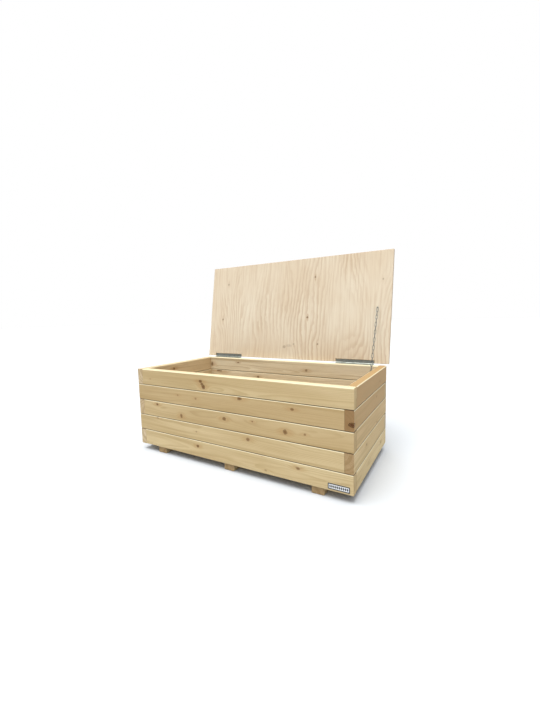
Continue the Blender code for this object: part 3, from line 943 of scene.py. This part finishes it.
# The chain's lower end: a washer and a pan-head screw, with the last link's bow round its shank.
WALL_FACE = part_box("right_plank_1")[0].x
stay_low, stay_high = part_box("chain_box_screw")
STAY_MIDDLE = Vector((WALL_FACE, (stay_low.y + stay_high.y) / 2, (stay_low.z + stay_high.z) / 2))
STAY_SHANK = 0.00175
STAY_WASHER = 0.0047
STAY_WASHER_TOP = 0.0010
STAY_CLEAR = 0.0003
STAY_HEAD_BASE = STAY_WASHER_TOP + 2 * (WIRE + STAY_CLEAR)
STAY_HEAD = 0.0036
STAY_RECESS_DEPTH = 0.0013
STAY_RECESS_TOP = 0.0022
# The link's bow lies over the washer, with a small clearance from it and below the shank.
STAY_OFF_WALL = Vector((-(STAY_WASHER_TOP + WIRE + STAY_CLEAR), 0, 0))
STAY_END = STAY_MIDDLE + STAY_OFF_WALL + (STAY_SHANK + WIRE + STAY_CLEAR) * CHAIN_ALONG


def build_stay_screw():
    """The screw and its washer, turned in one piece about the screw's axis."""
    base = STAY_HEAD_BASE
    profile = [
        (0, base + 0.0023),
        (STAY_HEAD * 0.45, base + STAY_RECESS_TOP),
        (STAY_HEAD * 0.80, base + 0.0017),
        (STAY_HEAD, base + 0.0008),
        (STAY_HEAD, base + 0.0001),
        (STAY_HEAD * 0.97, base),
        (STAY_SHANK, base),
        (STAY_SHANK, STAY_WASHER_TOP),
        (STAY_WASHER * 0.96, STAY_WASHER_TOP),
        (STAY_WASHER, STAY_WASHER_TOP - 0.0001),
        (STAY_WASHER, 0.0001),
        (STAY_SHANK * 1.2, 0.0001),
        (STAY_SHANK, -0.001),
        (STAY_SHANK * 0.9, -0.0085),
        (0, -0.0100),
    ]
    place = Matrix.Translation(STAY_MIDDLE) @ Matrix.Rotation(-math.pi / 2, 4, "Y")

    def build(work):
        turn(work, profile, place)

    piece = new_piece("chain_box_screw_detail", build, ZINC, "box", ["chain_box_screw"])
    head = place @ Matrix.Translation((0, 0, base + STAY_RECESS_TOP))
    cut_recess(piece, head, STAY_HEAD * 1.2, STAY_RECESS_DEPTH)


EYE_STEPS = 40
EYE_SHANK = 0.0016


def build_screw_eye():
    """A screw eye: one wire bent to a ring, and a neck that swells into the shank."""
    low, high = shut_box("chain_lid_eye")
    face = shut_box("lid")[0].z
    ring = (high.y - low.y) / 2 - WIRE
    middle = Vector(((low.x + high.x) / 2, (low.y + high.y) / 2, low.z + ring + WIRE))
    path = []
    for step in range(EYE_STEPS):
        angle = 2 * math.pi * step / EYE_STEPS
        outwards = Vector((0, math.cos(angle), math.sin(angle)))
        path.append(OPEN_FROM_SHUT @ (middle + ring * outwards))
    neck = face - middle.z
    place = OPEN_FROM_SHUT @ Matrix.Translation(middle)
    profile = [
        (0, ring - WIRE * 0.6),
        (WIRE * 0.9, ring - WIRE * 0.5),
        (WIRE * 1.05, neck * 0.85),
        (EYE_SHANK, neck),
        (EYE_SHANK, neck + 0.0020),
        (0, neck + 0.0098),
    ]

    def build(work):
        sweep(work, path, WIRE)
        turn(work, profile, place, EYE_STEPS // 2)

    new_piece("chain_lid_eye_detail", build, ZINC, "lid", ["chain_lid_eye"])


# Badge: a thin plate with a raised rim and a row of small engraved lozenges.
BADGE_RIM = 0.0012
BADGE_ROUND = 0.0016
BORDER_OUTER = 0.0028
BORDER_INNER = 0.0031
MARK_MARGIN = 0.0040
MARK_BLUR = 0.0002
MARK_SPACING = 0.0130
MARK_HEIGHT = 0.0054
MARK_SLOPE = 1.75


def badge_material():
    """Brushed steel with a dark border and a row of dark lozenges."""
    low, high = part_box("badge")
    middle = (low + high) / 2
    half = (high - low) / 2
    material, graph, shader, place = new_material("badge_steel")
    x, _, z = graph.split(graph.vector("SUBTRACT", place, middle))
    edge = graph.math("MAXIMUM", graph.beyond(x, half.x), graph.beyond(z, half.z))
    border = graph.step(edge, -BORDER_INNER, -BORDER_OUTER)
    quarter = MARK_SPACING / 4
    cell = graph.math("SUBTRACT", graph.math("PINGPONG", x, 2 * quarter), quarter)
    slope = graph.product(graph.math("ABSOLUTE", cell), MARK_SLOPE)
    lozenge = graph.math("ADD", slope, graph.math("ABSOLUTE", z))
    lozenge = graph.step(lozenge, MARK_HEIGHT + MARK_BLUR, MARK_HEIGHT - MARK_BLUR)
    row_end = half.x - MARK_MARGIN
    inside = graph.step(graph.math("ABSOLUTE", x), row_end, row_end - 2 * MARK_BLUR)
    mark = graph.product(lozenge, inside)
    brushed = graph.noise(place, (40.0, 40.0, 2600.0), detail=2.0)
    dark = graph.math("MAXIMUM", border, mark)
    colour = graph.mix(graph.step(brushed, 0.3, 0.7), *BADGE_COLOURS)
    colour = graph.mix(dark, colour, BADGE_BLACK)
    graph.feed(shader.inputs["Base Color"], colour)
    graph.feed(shader.inputs["Metallic"], graph.math("SUBTRACT", 1.0, dark))
    graph.feed(shader.inputs["Roughness"], graph.scaled(brushed, 0.20, 0.24))
    relief = graph.math("SUBTRACT", brushed, mark)
    graph.feed(shader.inputs["Normal"], graph.bump(relief, BADGE_BUMP))
    return material


def rounded_outline(half_x, half_z, radius, steps=5):
    """The outline of a rectangle with rounded corners, as (x, z) points."""
    points = []
    for quarter, (sign_x, sign_z) in enumerate(((1, 1), (-1, 1), (-1, -1), (1, -1))):
        for step in range(steps + 1):
            angle = math.pi / 2 * (quarter + step / steps)
            x = sign_x * (half_x - radius) + radius * math.cos(angle)
            z = sign_z * (half_z - radius) + radius * math.sin(angle)
            points.append((x, z))
    return points


def build_badge():
    """The plate: its back edge, its front edge, the rim and the face inside the rim."""
    low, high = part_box("badge")
    middle = (low + high) / 2
    half = (high - low) / 2
    back_edge = (0.0, 2 * half.y)
    levels = [back_edge, (0.0, 0.0002), (0.0002, 0.0), (0.0010, 0.0), (BADGE_RIM, 0.0003)]

    def build(work):
        loops = []
        for inset, depth in levels:
            half_x, half_z = half.x - inset, half.z - inset
            outline = rounded_outline(half_x, half_z, BADGE_ROUND - inset * 0.9)
            front = depth - half.y
            loop = [work.verts.new(middle + Vector((x, front, z))) for x, z in outline]
            loops.append(loop)
        count = len(loops[0])
        for first, second in zip(loops, loops[1:]):
            for k in range(count):
                after = (k + 1) % count
                work.faces.new((first[k], first[after], second[after], second[k]))
        work.faces.new(loops[0])
        work.faces.new(loops[-1])

    new_piece("badge_plate", build, badge_material(), "box", ["badge"])


# Stage


def build_stage():
    mesh = bpy.data.meshes.new("floor")
    half = FLOOR_SIZE / 2
    corners = [(-half, -half, 0), (half, -half, 0), (half, half, 0), (-half, half, 0)]
    mesh.from_pydata(corners, [], [(0, 1, 2, 3)])
    floor = bpy.data.objects.new("floor", mesh)
    bpy.context.scene.collection.objects.link(floor)
    floor.location.z = -FLOOR_DROP
    material = bpy.data.materials.new("floor")
    material.use_nodes = True
    shader = material.node_tree.nodes["Principled BSDF"]
    shader.inputs["Base Color"].default_value = (*FLOOR_COLOUR, 1)
    shader.inputs["Roughness"].default_value = 0.9
    shader.inputs["Specular IOR Level"].default_value = 0.1
    mesh.materials.append(material)


def build_light():
    world = bpy.data.worlds.new("studio")
    bpy.context.scene.world = world
    world.use_nodes = True
    graph = Graph(world.node_tree)
    background = world.node_tree.nodes["Background"]
    direction = graph.add("ShaderNodeTexCoord").outputs["Generated"]
    room = graph.step(graph.dot(direction, ROOM_TOWARDS), -0.9, 0.9, ROOM_DIM, ROOM_BRIGHT)
    _, _, upwards = graph.split(direction)
    room = graph.product(room, graph.step(upwards, 0.0, 0.45, HORIZON_SHARE, 1.0))
    ceiling = graph.step(upwards, 0.40, 0.85, 0.0, CEILING_LIGHT)
    seen = graph.add("ShaderNodeLightPath").outputs["Is Camera Ray"]
    light = graph.math("MAXIMUM", graph.math("ADD", room, ceiling), seen)
    graph.feed(background.inputs["Strength"], light)
    graph.feed(background.inputs["Color"], (1.0, 1.0, 1.0))
    lamp = bpy.data.lights.new("lamp", "SUN")
    lamp.energy = LAMP_STRENGTH
    lamp.angle = math.radians(LAMP_SPREAD)
    hung = bpy.data.objects.new("lamp", lamp)
    bpy.context.scene.collection.objects.link(hung)
    hung.rotation_mode = "QUATERNION"
    hung.rotation_quaternion = Vector(LAMP_FROM).to_track_quat("Z", "Y")
    bpy.context.scene.view_settings.view_transform = "Standard"


def build_camera():
    data = bpy.data.cameras.new("camera")
    data.lens = CAMERA_LENS
    data.shift_x, data.shift_y = CAMERA_SHIFT
    data.clip_start = 0.01
    data.clip_end = 100
    camera = bpy.data.objects.new("camera", data)
    bpy.context.scene.collection.objects.link(camera)
    azimuth = Matrix.Rotation(math.radians(CAMERA_AZIMUTH), 4, "Z")
    pitch = Matrix.Rotation(math.radians(90 + CAMERA_PITCH), 4, "X")
    roll = Matrix.Rotation(math.radians(CAMERA_ROLL), 4, "Z")
    camera.matrix_world = Matrix.Translation(CAMERA_PLACE) @ azimuth @ pitch @ roll
    bpy.context.scene.camera = camera


build_camera()
build_light()
build_stage()
paint_planks()
veneer("lid", LID_SEED, LID_PLIES, LID_KNOTS, on_lid=True)
veneer("floor_panel", FLOOR_SEED, FLOOR_PLIES, FLOOR_KNOTS, on_lid=False)
for corner in ("front_left", "front_right", "back_left", "back_right"):
    paint(nodes[f"{corner}_dowel"], BEECH)
for side in ("left", "right"):
    for part in ("hinge_box_leaf", "hinge_lid_leaf", "hinge_pin"):
        paint(nodes[f"{side}_{part}"], ZINC)
build_chain()
build_hinge_screws()
build_stay_screw()
build_screw_eye()
build_badge()
